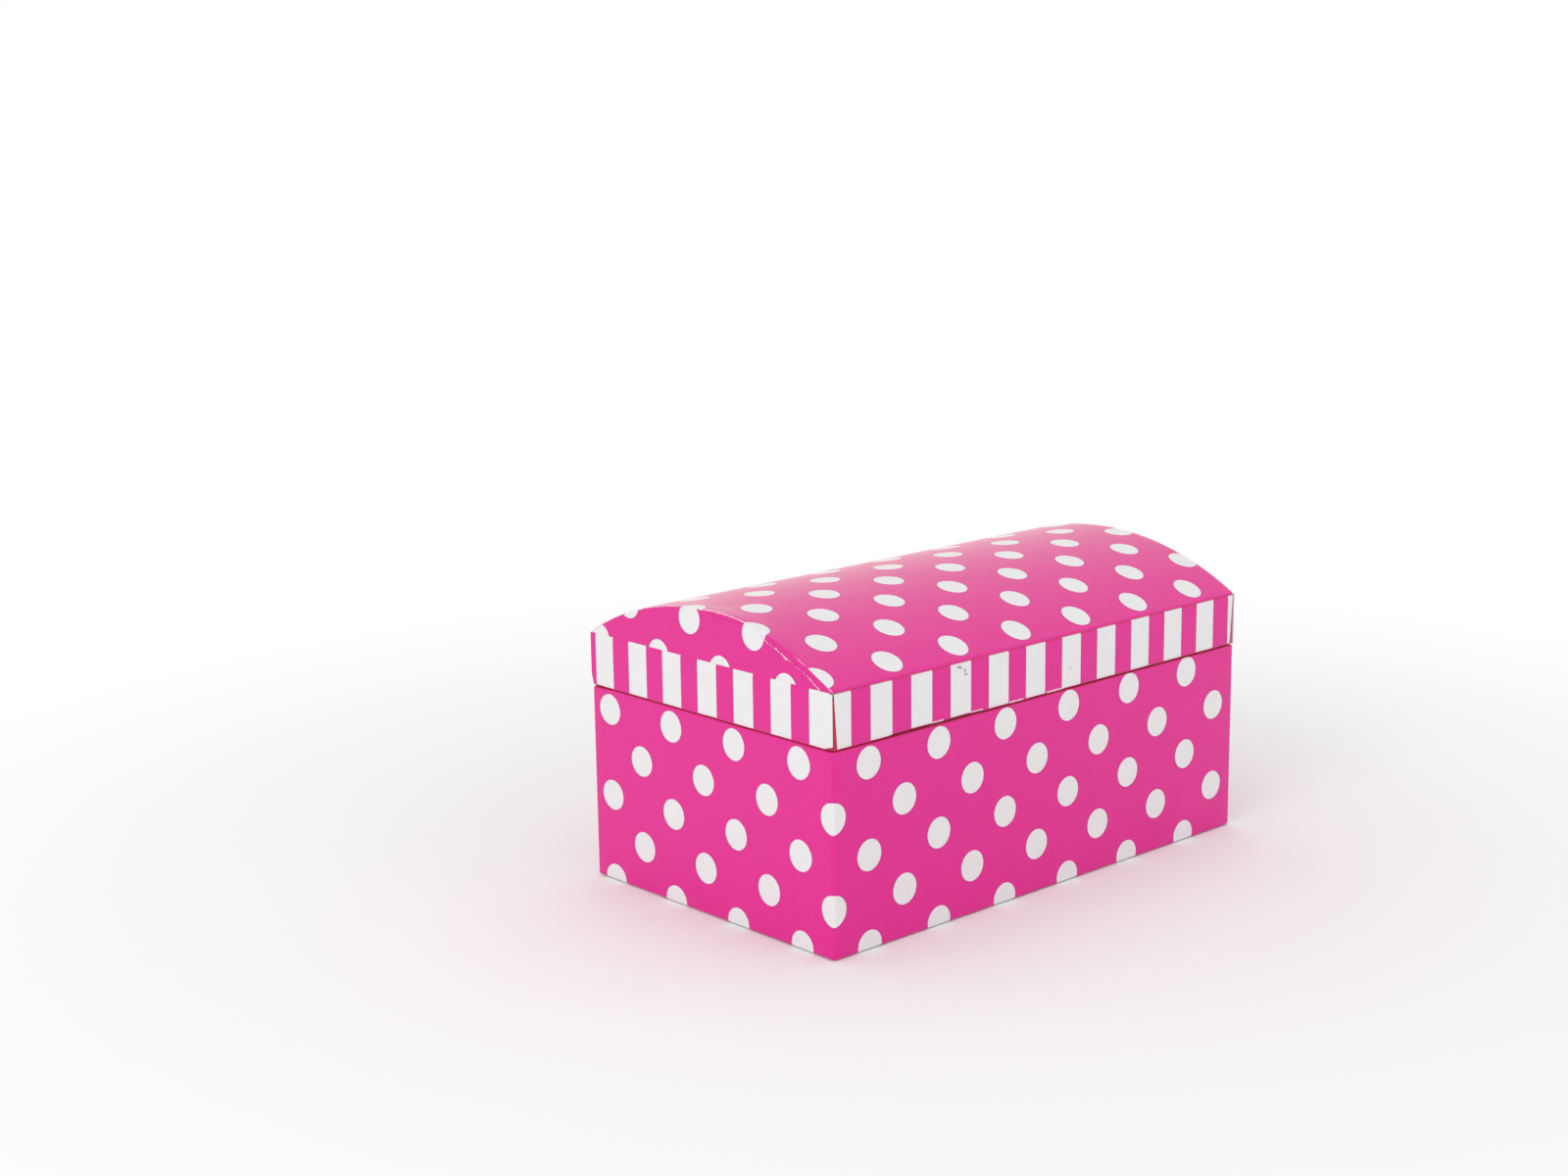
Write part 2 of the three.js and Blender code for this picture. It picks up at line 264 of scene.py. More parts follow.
def makeStripedPaper():
    finish, bench, where = startFinish("striped paper")
    u, v, _ = bench.split(bench.add("ShaderNodeUVMap", {"uv_map": "sheet"}))
    pitch, half, softness = stripeLook["pitch"], stripeLook["white"] / 2, stripeLook["softness"]
    away = abs(((u - half) / pitch + 0.5) % 1.0 - 0.5) * pitch
    ragged = away + bench.noise(where, 1400.0, 3.0) * 0.16 - 0.08
    printed = v.fade(stripeLook["margin"] + softness, stripeLook["margin"])
    outline = abs(ragged - half - softness).fade(0.0, 2 * softness)
    x, y, z = bench.split(where)
    soiled = None
    grit = bench.noise(where, 2200.0, 3.0, 0.6) * 0.5
    for across, up, reach in stripeLook["scuffs"]:
        right, over = x / mm - across, z / mm - up
        spot = ((right * right + over * over).root() + grit).fade(0.3, reach + 0.15)
        soiled = spot if soiled is None else soiled.most(spot)
    onFront = (0 - y / mm) > stripeLook["frontFrom"]
    white = ragged.fade(half - softness, half + softness) * printed
    # painted shade along the top edge, in the crease under the dome
    crease = v.fade(stripeLook["crease"], stripeLook["crease"] - stripeLook["creaseReach"]) * onFront
    printedFinish(bench, where, white, outline * printed, crease, soiled * onFront)
    return finish


def makeBarePaper():  # back and cut edges of a printed sheet
    finish, bench, where = startFinish("bare paper")
    fibres = bench.noise(where, 2600.0, 5.0, 0.7)
    face = bench.blend(fibres, tint("f4e4ea"), tint("e9cdd9"))
    endFinish(bench, face, fibres * 0.2 + 0.65, fibres * (0.01 * mm))
    return finish


def makeLiningPaper():
    finish, bench, where = startFinish("lining paper")
    cloud = bench.noise(where, 70.0, 4.0, 0.6)
    fibres = bench.noise(where, 2400.0, 5.0, 0.7)
    speck = bench.noise(where, 700.0, 2.0).fade(0.79, 0.73)
    face = bench.blend(cloud, tint("f6f3ee"), tint("ebe6dd"))
    face = bench.blend(speck * 0.3, face, tint("c9bda9"))
    endFinish(bench, face, fibres * 0.15 + 0.68, fibres * (0.012 * mm) + cloud * (0.05 * mm))
    return finish


def makeGreyboard():
    finish, bench, where = startFinish("greyboard")
    cloud = bench.noise(where, 120.0, 4.0)
    flecks = bench.noise(where, 1500.0, 6.0, 0.75)
    face = bench.blend(cloud, tint("a89f92"), tint("978e82"))
    face = bench.blend(flecks.fade(0.68, 0.6), face, tint("6f675d"))
    face = bench.blend(flecks.fade(0.3, 0.38), face, tint("c6bfb3"))
    endFinish(bench, face, flecks * 0.1 + 0.85, flecks * (0.03 * mm))
    return finish


def makeGummedTape():
    finish, bench, where = startFinish("gummed tape")
    streaks = bench.noise(
        bench.add("ShaderNodeMapping", None, {"Vector": where, "Scale": (1.0, 1.0, 9.0)}), 260.0, 5.0, 0.7)
    face = bench.blend(streaks, tint("b98d58"), tint("d0aa78"))
    endFinish(bench, face, streaks * 0.15 + 0.7, streaks * (0.02 * mm))
    return finish


dottedPaper = makeDottedPaper()
stripedPaper = makeStripedPaper()
barePaper = makeBarePaper()
liningPaper = makeLiningPaper()
greyboard = makeGreyboard()
gummedTape = makeGummedTape()
print("finishes made:", len(bpy.data.materials))


# Sheets of paper
def boxMm(node):
    low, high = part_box(node)
    return low / mm, high / mm


def settle(piece):  # modifiers become a plain mesh, on an object at the origin
    graph = bpy.context.evaluated_depsgraph_get()
    mesh = bpy.data.meshes.new_from_object(
        piece.evaluated_get(graph), preserve_all_data_layers=True, depsgraph=graph)
    name = piece.name
    bpy.data.objects.remove(piece)
    return addObject(name, mesh)


def addObject(name, data):
    piece = bpy.data.objects.new(name, data)
    bpy.context.scene.collection.objects.link(piece)
    return piece


def smooth(mesh):
    mesh.shade_smooth()
    mesh.set_sharp_from_angle(angle=sharpFrom)


def thicken(piece, thickness, bareEdge=1):  # inwards from the printed face; the back is bare paper
    piece.data.materials.append(barePaper)
    sheet = piece.modifiers.new("thickness", "SOLIDIFY")
    sheet.thickness = thickness * mm
    sheet.offset = -1
    sheet.material_offset = 1
    sheet.material_offset_rim = bareEdge
    piece = settle(piece)
    smooth(piece.data)
    return piece


def sheetPiece(name, rows, finish, thickness, bareEdge=1):
    # each spot is (place, print place, wear, with painted shade below 0); rows run down the printed face and
    # spots to the right on it
    across = len(rows[0])
    spots = [spot for row in rows for spot in row]
    faces = []
    for r in range(len(rows) - 1):
        for c in range(across - 1):
            a = r * across + c
            faces.append((a, a + across, a + across + 1, a + 1))
    mesh = bpy.data.meshes.new(name)
    mesh.from_pydata([Vector(place) * mm for place, _, _ in spots], [], faces)
    printed = mesh.uv_layers.new(name="sheet")
    for loop in mesh.loops:
        printed.data[loop.index].uv = spots[loop.vertex_index][1]
    worn = mesh.attributes.new("wear", "FLOAT", "POINT")
    worn.data.foreach_set("value", [wear for _, _, wear in spots])
    mesh.materials.append(finish)
    return thicken(addObject(name, mesh), thickness, bareEdge)


def stretch(first, last, step):  # evenly spaced numbers, both ends included
    count = max(1, math.ceil(abs(last - first) / step))
    return [first + (last - first) * i / count for i in range(count + 1)]


def ease(value, low, high):
    t = min(1, max(0, (value - low) / (high - low)))
    return t * t * (3 - 2 * t)


def between(value, knots):  # straight lines through (place, value) knots
    for (x0, y0), (x1, y1) in zip(knots, knots[1:]):
        if value <= x1:
            return y0 + (y1 - y0) * (value - x0) / (x1 - x0)
    return knots[-1][1]


def foldedLine(corners, step):
    # corners are (a, b, fold radius); gives (a, b, length so far) along the folded line
    line = []

    def put(a, b):
        length = line[-1][2] + math.dist(line[-1][:2], (a, b)) if line else 0
        if not line or length - line[-1][2] > tiny:
            line.append((a, b, length))

    spans = []
    for i, (a, b, radius) in enumerate(corners):
        spot = Vector((a, b))
        if i in (0, len(corners) - 1):
            spans.append([spot])
            continue
        back = (Vector(corners[i - 1][:2]) - spot).normalized()
        on = (Vector(corners[i + 1][:2]) - spot).normalized()
        half = back.angle(on) / 2
        centre = spot + (back + on).normalized() * radius / math.sin(half)
        first = spot + back * radius / math.tan(half) - centre
        last = spot + on * radius / math.tan(half) - centre
        sweep = math.pi - 2 * half
        spans.append([
            centre + (first * math.sin((1 - t) * sweep) + last * math.sin(t * sweep)) / math.sin(sweep)
            for t in stretch(0, 1, 1 / 6)
        ])
    for i, span in enumerate(spans):
        if i:
            end = spans[i - 1][-1]
            for t in stretch(0, 1, step / max(step, (span[0] - end).length)):
                put(*end.lerp(span[0], t))
        for spot in span:
            put(*spot)
    return line


# Walls seen from above: side 0 is the front, 1 the right, 2 the back and 3 the left
wrapLow, wrapHigh = boxMm("base_dotted_wrap")
frontLow, frontHigh = boxMm("lid_front_striped_strip")
_, domeHigh = boxMm("lid_dotted_dome_wrap")
_, hingeHigh = boxMm("hinge_strip_lid_half")
cornerRadius = 0.8  # the papers fold sharper than the boards under them
leastRadius = 0.2  # inside the wall
rimZ = wrapHigh.z
lidRimZ = frontLow.z
creaseZ = frontHigh.z
nearY = wrapLow.y  # at the photograph's near corner, where its sizes were read from
basePlan = {"halfX": wrapHigh.x, "front": wrapLow.y, "back": wrapHigh.y}
lidPlan = {"halfX": wrapHigh.x, "front": wrapLow.y, "back": hingeHigh.y}
halfArc = cornerRadius * math.pi / 4


def flatLength(plan, side):
    whole = plan["back"] - plan["front"] if side % 2 else 2 * plan["halfX"]
    return whole - 2 * cornerRadius


def wallSpot(plan, side, along, inset):  # along runs anticlockwise, from where that side's flat starts
    flat = flatLength(plan, side)
    if along > flat + 2 * halfArc:  # past the corner, on the next wall
        return wallSpot(plan, (side + 1) % 4, along - flat - 2 * halfArc, inset)
    if along < -2 * halfArc:
        before = (side + 3) % 4
        return wallSpot(plan, before, flatLength(plan, before) + 2 * halfArc + along, inset)
    radius = max(cornerRadius - inset, leastRadius)
    right = plan["halfX"] - inset - radius
    front, back = plan["front"] + inset + radius, plan["back"] - inset - radius
    centres = [(-right, front), (right, front), (right, back), (-right, back)]
    facing = (side - 1) * math.pi / 2
    share = min(1, max(0, along / flat))
    turn = (along - share * flat) / cornerRadius
    (x0, y0), (x1, y1) = centres[side], centres[(side + 1) % 4]
    x = x0 + (x1 - x0) * share + radius * math.cos(facing + turn)
    y = y0 + (y1 - y0) * share + radius * math.sin(facing + turn)
    return x, y


baseWrap = {
    "thickness": 0.2,
    "wall": 2.25,  # through board, tape and both papers
    "rimFold": 0.75,
    "footFold": 0.6,
    "turnIn": 12.0,
    "turnUnder": 12.0,
    "lapFrom": 84.0,  # along the right end: the sheet starts here and its end laps over it
    "lapTo": 91.0,
    "lapSink": 0.24,
    "lapGap": 0.05,
    "lapTrim": (1.5, 5.0),  # the part underneath is cut away towards the folds, over this much of the wall
    "frontDots": 0.12,  # first dots, from the near corner
    "leftDots": 0.69,
    "dotRow": 37.35,
    "cornerDots": 0.05,
    "straddle": (3.5, 7.0),  # how far the dots on the near corner reach, and where the print is even again
    "lean": 0.0057,  # the sheet was pasted a touch askew
    "leftShift": 0.39,  # and stretched unevenly over the left end
    "leftSkew": 0.0153,
    "leftBow": 1.12,
    "leftEven": (5.0, 9.0),  # fading out towards the near corner, over this
    "rimWander": (0.08, 14.0),  # height and length of the slow waves in the fold
    "rimShade": (0.5, 0.1),  # painted shade of the seam darkens it from here below the fold to here
    "shadeInset": (0.6, 1.3),  # and not past this, towards the inside
    "rimReach": 3.0,  # this much below the fold the wall is true again
    "rimLift": 0.2,  # the fold stands this much proud
    "liftEnds": (40.0, 45.0),  # but not at the hinge: the lift fades out between these
    "leftLift": 0.11,  # and this much more along the left end, where the seam is tighter
    "leftEnd": (75.0, 77.5),
}


def leftStray(along, z, look):  # how far the print on the left end strays back from an even grid
    half = flatLength(basePlan, 3) / 2
    back = (half - along) / half
    stray = look["leftShift"] - look["leftSkew"] * (z - rimZ / 2) - look["leftBow"] * back ** 2
    return stray * ease(2 * half - along, *look["leftEven"])


def makeBaseWrap(look):
    foot = wrapLow.z
    profile = foldedLine([
        (look["wall"], rimZ - look["turnIn"], 0),
        (look["wall"], rimZ, look["rimFold"]),
        (0, rimZ, look["rimFold"]),
        (0, foot, look["footFold"]),
        (look["turnUnder"], foot, 0),
    ], 4)
    level = next(length + z for inset, z, length in profile if inset < tiny)

    # print places at the corners of each side, so that the dots fall where they do on the real front and left
    front, right = flatLength(basePlan, 0), flatLength(basePlan, 1)
    frontFrom = cornerRadius + look["frontDots"]
    leftTo = -cornerRadius - look["leftDots"]
    nearMiddle = look["cornerDots"]
    frontTo = frontFrom + front
    leftFrom = leftTo - right
    reach, even = look["straddle"]
    runs = [
        (1, look["lapFrom"], right + halfArc, leftFrom - 4 * halfArc - front - right),
        (2, -halfArc, front + halfArc, leftFrom - 2 * halfArc - front),
        (3, -halfArc, right + halfArc, leftFrom),
        (0, -halfArc, front + halfArc, frontFrom),
        (1, -halfArc, look["lapTo"], frontTo + 2 * halfArc),
    ]
    columns = []
    for order, (side, first, last, printFrom) in enumerate(runs):
        flat = flatLength(basePlan, side)
        knots = [(-halfArc, printFrom - halfArc), (0, printFrom), (flat, printFrom + flat)]
        knots.append((flat + halfArc, printFrom + flat + halfArc))
        if order == 2:  # dots straddle the near corner, between this run and the next
            knots[2:] = [(flat - even, printFrom + flat - even), (flat - reach, nearMiddle - halfArc - reach)]
            knots.append((flat + halfArc, nearMiddle))
        if order == 3:
            knots[:2] = [(-halfArc, nearMiddle), (reach, nearMiddle + halfArc + reach)]
            knots.insert(2, (even, printFrom + even))
        places = [a for a in stretch(-halfArc, 0, 0.25) + stretch(0, flat, 4)[1:] if first <= a <= last]
        places += [a for a in stretch(flat, flat + halfArc, 0.25)[1:] if a <= last]
        places += [a for a, _ in knots if first < a < last]
        places = sorted({round(a, 6) for a in [*places, first, last]})
        columns += [(order, side, along, between(along, knots)) for along in places[1 if order else 0:]]

    lapEnd = right + halfArc
    clearOfLap = look["lapTo"] + look["lapGap"]
    near, far = look["lapTrim"]
    shadeFrom, shadeTo = look["rimShade"]
    wave, waveLength = look["rimWander"]
    rows = []
    for inset, z, length in profile:
        onWall = ease(rimZ - z, near, far) * ease(z - foot, near, far) * (inset < tiny)
        lapStart = clearOfLap - (clearOfLap - look["lapFrom"]) * onWall
        row = []
        for order, side, along, u in columns:
            sink = 0
            if order == 0:
                trimmed = lapEnd - (lapEnd - along) * (lapEnd - lapStart) / (lapEnd - look["lapFrom"])
                u += trimmed - along
                along = trimmed
                sink = look["lapSink"] * min(1, 2 * onWall) * (1 - ease(along, look["lapTo"] + 0.5, lapEnd))
            x, y = wallSpot(basePlan, side, along, inset + sink)
            stand = look["rimLift"] + look["leftLift"] * ease(-x, *look["leftEnd"])
            stand *= 1 - ease(y, *look["liftEnds"])
            stand += wave * noise.noise(Vector((u / waveLength, side, 0)))
            stand *= ease(z, rimZ - look["rimReach"], rimZ)
            # painted shade of the seam, kept below 0 in the wear attribute
            shade = ease(z, rimZ - shadeFrom, rimZ - shadeTo) * (1 - ease(inset, *look["shadeInset"]))
            v = level - length - look["dotRow"] - look["lean"] * u
            printU = u - leftStray(along, z, look) if side == 3 else u
            row.append(((x, y, z + stand), (printU, v), -shade))
        rows.append(row)
    return sheetPiece("baseDottedWrap", rows, dottedPaper, look["thickness"])


baseSheet = makeBaseWrap(baseWrap)
print("base wrap:", len(baseSheet.data.polygons), "faces")


lipStrip = {
    "thickness": 0.18,
    "burnish": (0.15, 0.9),  # its top edge is rubbed down this far, over this much of its height
    "lipFold": 0.3,
    "lipWall": 2.25,
    "endWall": 2.5,
    "turnIn": 13.8,
    "edgeReach": 1.5,  # a strayed edge fades into the strip over this height
    "innerInset": 0.6,  # inside the lid its ends stop this much short
    "slits": {  # how far short of the corner an end stops, at the top and at the foot, and the slit's height
        "front": (0.75, 1.8, 14.7),
        "side": (0.0, 0.0, 14.7),
        "back": (0.02, 0.9, 3.0),
        "hinge": (0.24, 1.1, 3.0),
    },
    "wander": 0.08,  # how far the hand-cut top edge strays
    "footWander": 0.14,  # and the lower edge
    "frontFoot": [  # how far up the front one is cut, from the near corner
        (0, 0), (20, 0.02), (21.5, 0.34), (40, 0.3), (41, 0.42), (53, 0.34), (55, 0.08), (160, 0.1),
    ],
    "paleFoot": [(35, 39.2), (49.5, 54.3), (64.5, 70.2), (79.2, 86)],  # where its bare edge shows
    "paleReach": (0.25, 0.5),  # up to here, fading out there
    "paintedShadeReach": (0.1, 0.35),  # elsewhere painted shade of the seam darkens the foot up to here
    "paintedShadeInset": (0.5, 1.2),
    "nip": (2.9, 1.0),  # cut off the lower corner of the left strip, beside the slit: along and up
    "frontStripe": 1.11,  # first white stripe, from the near corner
    "endStripe": -0.74,
    "endStretch": stripeLook["pitch"] / 14.26,
}


def edgeWander(along, seed):  # a hand-cut edge: slow drift with a few small steps
    slow = noise.noise(Vector((along / 23, seed, 0.3)))
    steps = round(2 * noise.noise(Vector((along / 9, seed, 7.1)))) / 2
    return 0.6 * slow + 0.5 * steps


def stripSpot(side, along, inset):  # a strip runs straight on past the flat, to the sharp corner
    past = along - min(flatLength(lidPlan, side), max(0, along))
    x, y = wallSpot(lidPlan, side, along - past, inset)
    facing = (side - 1) * math.pi / 2
    return x - math.sin(facing) * past, y + math.cos(facing) * past


def stripEnds(ends, z, tucked, inside, look):  # how far past the flat the two ends of a strip reach
    reach = []
    for end in ends:
        top, foot, height = look["slits"][end]
        slit = between(max(z, lidRimZ), [(lidRimZ, foot), (lidRimZ + height, top)])
        reach.append((cornerRadius - slit) * (1 - tucked) - inside)
    return reach


def stripRows(side, ends, profile, printPlace, look):
    flat = flatLength(lidPlan, side)
    rows = []
    for inset, z, _ in profile:
        tucked = ease(inset, look["burnish"][0], look["lipFold"]) * (z < creaseZ - 2)
        inside = ease(inset, 1.2, 2.0) * look["innerInset"]
        before, after = stripEnds(ends, z, tucked, inside, look)
        row = []
        for share in stretch(0, 1, 1 / math.ceil(flat)):
            along = (flat + before + after) * share - before
            x, y = stripSpot(side, along, inset)
            atTop = ease(z, creaseZ - look["edgeReach"], creaseZ)
            atFoot = 1 - ease(z, lidRimZ, lidRimZ + look["edgeReach"])
            stray = edgeWander(along, side)
            cut = look["footWander"] * abs(stray)
            # painted shade of the seam at the foot, below 0
            wear = (ease(z - lidRimZ, *look["paintedShadeReach"]) - 1) * (1 - ease(inset, *look["paintedShadeInset"]))
            fromNear = along + cornerRadius
            if side == 0:
                cut += between(fromNear, look["frontFoot"])
                if any(a < fromNear < b for a, b in look["paleFoot"]):
                    wear = (1 - ease(z - lidRimZ, *look["paleReach"])) * (inset < look["lipFold"])
            if side == 3:
                nipLength, nipRise = look["nip"]
                cut += nipRise * max(0, 1 - (flat + cornerRadius - along) / nipLength)
            drift = look["wander"] * stray * atTop + cut * atFoot * (1 - ease(inset, 0.1, 0.9))
            row.append(((x, y, z + drift), (printPlace(along), z - lidRimZ), wear))
        rows.append(row)
    return rows


def makeStrips(look):
    def folded(wall):
        pressed, height = look["burnish"]
        return foldedLine([
            (pressed, creaseZ, 0),
            (0, creaseZ - height, 1.5),
            (0, lidRimZ, look["lipFold"]),
            (wall, lidRimZ, look["lipFold"]),
            (wall, lidRimZ + look["turnIn"], 0),
        ], 1.2)

    endFlat = flatLength(lidPlan, 1)
    prints = {
        0: lambda along: along + cornerRadius + look["frontStripe"],
        1: lambda along: max(0.1, (along + cornerRadius + look["endStripe"]) * look["endStretch"]),
        3: lambda along: max(0.1, (endFlat - along + cornerRadius + look["endStripe"]) * look["endStretch"]),
    }
    plans = {
        0: ("lidFrontStripedStrip", ("front", "front"), look["lipWall"]),
        1: ("lidRightStripedStrip", ("side", "back"), look["endWall"]),
        3: ("lidLeftStripedStrip", ("back", "side"), look["endWall"]),
    }
    strips = {}
    for side, (name, ends, wall) in plans.items():
        rows = stripRows(side, ends, folded(wall), prints[side], look)
        strips[side] = sheetPiece(name, rows, stripedPaper, look["thickness"], 0)
    return strips


strips = makeStrips(lipStrip)
print("striped strips:", len(strips))


hingeStrip = {
    "thickness": 0.2,
    "drop": 14.0,  # pasted down the back of the base
    "baseInset": 0.5,  # from the round of each corner
    "foldHalf": 0.45,  # the fold is eased over this much above and below the hinge line
    "groove": (0.15, 0.8),  # pressed into the joint this deep, fading out this far from it
    "stripe": 3.4,
}


def makeHingeStrip(look, lip):
    foldZ = (rimZ + lidRimZ) / 2
    flat = flatLength(lidPlan, 2)
    depth, spread = look["groove"]
    lowEnd = foldZ - look["drop"]
    heights = stretch(creaseZ, foldZ + 1, 1.5)
    heights += stretch(foldZ + 1, foldZ - 1, 0.1)[1:]
    heights += stretch(foldZ - 1, lowEnd, 1.5)[1:]
    rows = []
    for z in heights:
        onLid = ease(z, foldZ - 0.9, foldZ + 0.3)
        reach, _ = stripEnds(("hinge", "hinge"), z, 1 - onLid, look["baseInset"] * (1 - onLid), lip)
        row = []
        for share in stretch(0, 1, 1 / math.ceil(flat)):
            along = (flat + 2 * reach) * share - reach
            x, y = stripSpot(2, along, depth * (1 - ease(abs(z - foldZ), 0, spread)))
            atEdge = ease(z, creaseZ - lip["edgeReach"], creaseZ) * 0.7
            atEdge -= ease(-z, -lowEnd - lip["edgeReach"], -lowEnd)
            wander = lip["wander"] * edgeWander(along, 2) * atEdge
            wear = 0.5 * (1 - ease(abs(z - foldZ), 0.1, 0.7))
            row.append(((x, y, z + wander), (along + look["stripe"], z), wear))
        rows.append(row)
    return sheetPiece("hingeStripedStrip", rows, stripedPaper, look["thickness"])


hingeSheet = makeHingeStrip(hingeStrip, lipStrip)


hingeLining = {
    "thickness": 0.14,
    "halfLength": 76.9,
    "foot": 48.42,
    "top": 68.6,
    "baseY": 45.3,
    "lidY": 45.75,
    "foldY": 47.6,
    "fold": 0.3,
    "gap": 0.05,  # between the two layers that lie in the seam
}


def makeHingeLining(look):
    foldZ = (rimZ + lidRimZ) / 2
    low, high = foldZ - look["gap"] / 2, foldZ + look["gap"] / 2
    line = foldedLine([
        (look["lidY"], look["top"], 0),
        (look["lidY"], high, look["fold"]),
        (look["foldY"], high, look["gap"] * 0.45),
        (look["foldY"], low, look["gap"] * 0.45),
        (look["baseY"], low, look["fold"]),
        (look["baseY"], look["foot"], 0),
    ], 1.5)
    places = stretch(-look["halfLength"], look["halfLength"], 3)
    rows = [[((x, y, z), (x, length), 0) for x in places] for y, z, length in line]
    piece = sheetPiece("hingeLiningStrip", rows, liningPaper, look["thickness"])
    piece.data.materials.pop(index=1)  # lining paper is the same on both faces
    return piece


liningStrip = makeHingeLining(hingeLining)
print("hinge strips made")


# Dome: a sheet swept over the arch, turned down round the card's edge at both ends
domeSpan = domeHigh.y
springZ = creaseZ + 0.45  # the sheet turns down a little above the strips
domeRise = domeHigh.z - springZ
domeRadius = (domeSpan ** 2 + domeRise ** 2) / (2 * domeRise)
domeCentre = domeHigh.z - domeRadius
archAngle = math.asin(domeSpan / domeRadius)

domeSheet = {
    "thickness": 0.2,
    "halfLength": 79.65,
    "edgeFold": 0.35,
    "cover": 6.0,  # down the end board, under the end paper
    "flap": 8.0,  # down the lip, under the strips
    "flapHalf": 77.8,  # cut away at the corners
    "cutBelow": 1.2,
    "topLayer": 0.02,  # what lies deeper than this has turned down the end
    "bandFrom": 33.0,  # nearer the front than this, the band on the left end is plain pink
    "bandShift": 6.0,
    "bandDepth": 0.12,
    "creaseFold": 0.6,
    "dotStretch": (dotLook["pitch"][0] / 24.74, dotLook["pitch"][1] / 24.11),
    "dotStart": (44.5, 80.3),  # first dot: from the top of the arch towards the front, and from the middle
    "dotLean": 0.0095,
    "dull": (-5.0, 8.0, 20.0, 20.0),  # patch of painted sheen with scratches at the left edge: middle, full, gone, reach inwards
    "endLift": (0.5, 14.0, 22.0, 9.0),  # swell at the left end: height, middle, reach along, reach inwards
    "rubAndHighlightReach": 0.9,  # its ends are paler this far in: rubbed paper with a painted highlight along the edge
    "rubTop": (-18.0, -26.0),  # the left one over the top, full here and gone there
    "rubAndHighlightFront": (-35.0, -28.0),  # and at the front; the right one all along
    "rubAndHighlightShares": (0.85, 0.65),  # how strongly, over the top and elsewhere
    "topDepth": (0.2, 0.4),  # wear over the top stops this far down the end
}


def archPath(look):
    arc = []
    for angle in stretch(-archAngle, archAngle, 0.012):
        arc.append((domeRadius * math.sin(angle), domeCentre + domeRadius * math.cos(angle)))
    tip = Vector(arc[0])
    rest = next(i for i, spot in enumerate(arc) if (Vector(spot) - tip).length > look["creaseFold"])
    bend = foldedLine([
        (tip.x, tip.y - look["flap"], 0),
        (tip.x, tip.y, look["creaseFold"]),
        (*arc[rest], 0),
    ], 2)
    half = [(a, b) for a, b, _ in bend[:-1]]
    return half + arc[rest:-rest] + [(-a, b) for a, b in reversed(half)]


def startTree(name, inputs, output):  # inputs are names and kinds of socket
    tree = bpy.data.node_groups.new(name, "GeometryNodeTree")
    for label, kind in inputs.items():
        tree.interface.new_socket(label, in_out="INPUT", socket_type="NodeSocket" + kind)
    tree.interface.new_socket(output, in_out="OUTPUT", socket_type="NodeSocketGeometry")
    bench = Bench(tree)
    return bench, bench.add("NodeGroupInput")


def endTree(bench, geometry, finish):
    geometry = bench.add("GeometryNodeRealizeInstances", None, {"Geometry": geometry})
    geometry = bench.add("GeometryNodeSetMaterial", None, {"Geometry": geometry, "Material": finish})
    bench.add("NodeGroupOutput", None, {0: geometry})
    return bench.tree


domeSizes = [  # inputs of the dome's tree: lengths in metres, then shares and what moves the print
    "Half Length", "Edge Fold", "Cover", "Flap Half", "Cut Below", "Top Layer", "Band From", "Band Depth",
    "Rub And Highlight Reach", "Top", "Arc Half",
    "Sheen Patch Middle", "Sheen Patch Full", "Sheen Patch Gone", "Sheen Patch Inwards",
    "End Lift", "Lift Middle", "Lift Along", "Lift Inwards",
    "Rub And Highlight Top Full", "Rub And Highlight Top Gone", "Rub And Highlight Front Full", "Rub And Highlight Front Gone", "Top Depth Full", "Top Depth Gone",
    "Rub And Highlight Top", "Rub And Highlight Front",
    "Band Shift", "Dot Start U", "Dot Start V", "Dot Stretch U", "Dot Stretch V", "Dot Lean",
]


